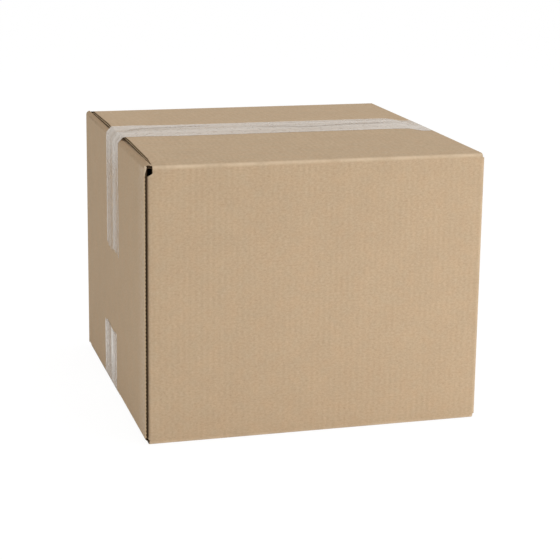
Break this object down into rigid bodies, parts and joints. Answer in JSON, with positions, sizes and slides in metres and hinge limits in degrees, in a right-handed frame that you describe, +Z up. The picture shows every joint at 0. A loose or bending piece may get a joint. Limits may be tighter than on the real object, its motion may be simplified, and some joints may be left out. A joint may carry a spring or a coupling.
{
  "type": "closed cardboard box",
  "caption": "Closed slotted box of corrugated board, folded from one sheet, glued at an upright corner and sealed with tape along its top and bottom seams.",
  "frame": {"origin": "middle of the footprint, on the surface that the box stands on", "axes": "+X to the right along the taped seams, seen from the front; +Y to the back; +Z up. The glued corner is at the front left."},
  "size_m": [0.3802, 0.38, 0.3105],
  "materials": {
    "kraft_board": "matte",
    "packing_tape": "satin"
  },
  "bodies": {
    "root": {"carton": "kraft_board", "top_tape": "packing_tape", "bottom_tape": "packing_tape"}
  },
  "joints": []
}
